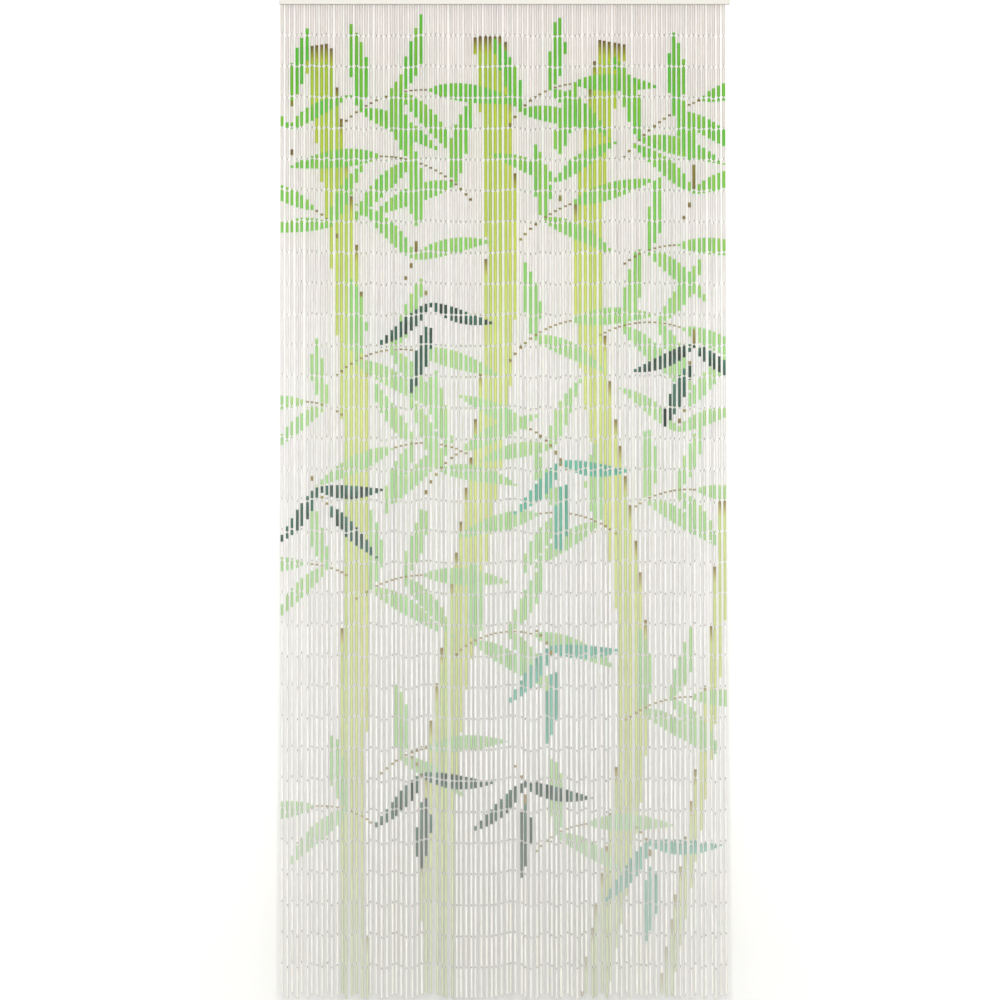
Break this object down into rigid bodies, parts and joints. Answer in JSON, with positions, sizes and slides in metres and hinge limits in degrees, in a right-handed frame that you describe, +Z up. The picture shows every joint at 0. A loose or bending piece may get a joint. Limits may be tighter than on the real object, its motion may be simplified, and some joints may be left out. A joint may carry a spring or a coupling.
{
  "type": "bamboo door curtain with rail",
  "caption": "Door curtain of hanging bamboo tube strands, linked by wire loops under a slim wooden rail, painted with leafy sprays that pale towards the lower end.",
  "frame": {"origin": "centre of the rail's back face, which lies against the head of the door frame", "axes": "+X along the rail to the right as seen from the front, +Y backwards into the door frame, +Z up"},
  "size_m": [0.9, 0.02, 1.9987],
  "materials": {
    "rail_wood": "pale painted wood, satin",
    "bamboo": "bleached bamboo with painted colours, satin",
    "link_wire": "thin galvanised wire, dull"
  },
  "bodies": {
    "root": {"rail": "rail_wood", "strands": "bamboo"}
  },
  "joints": []
}
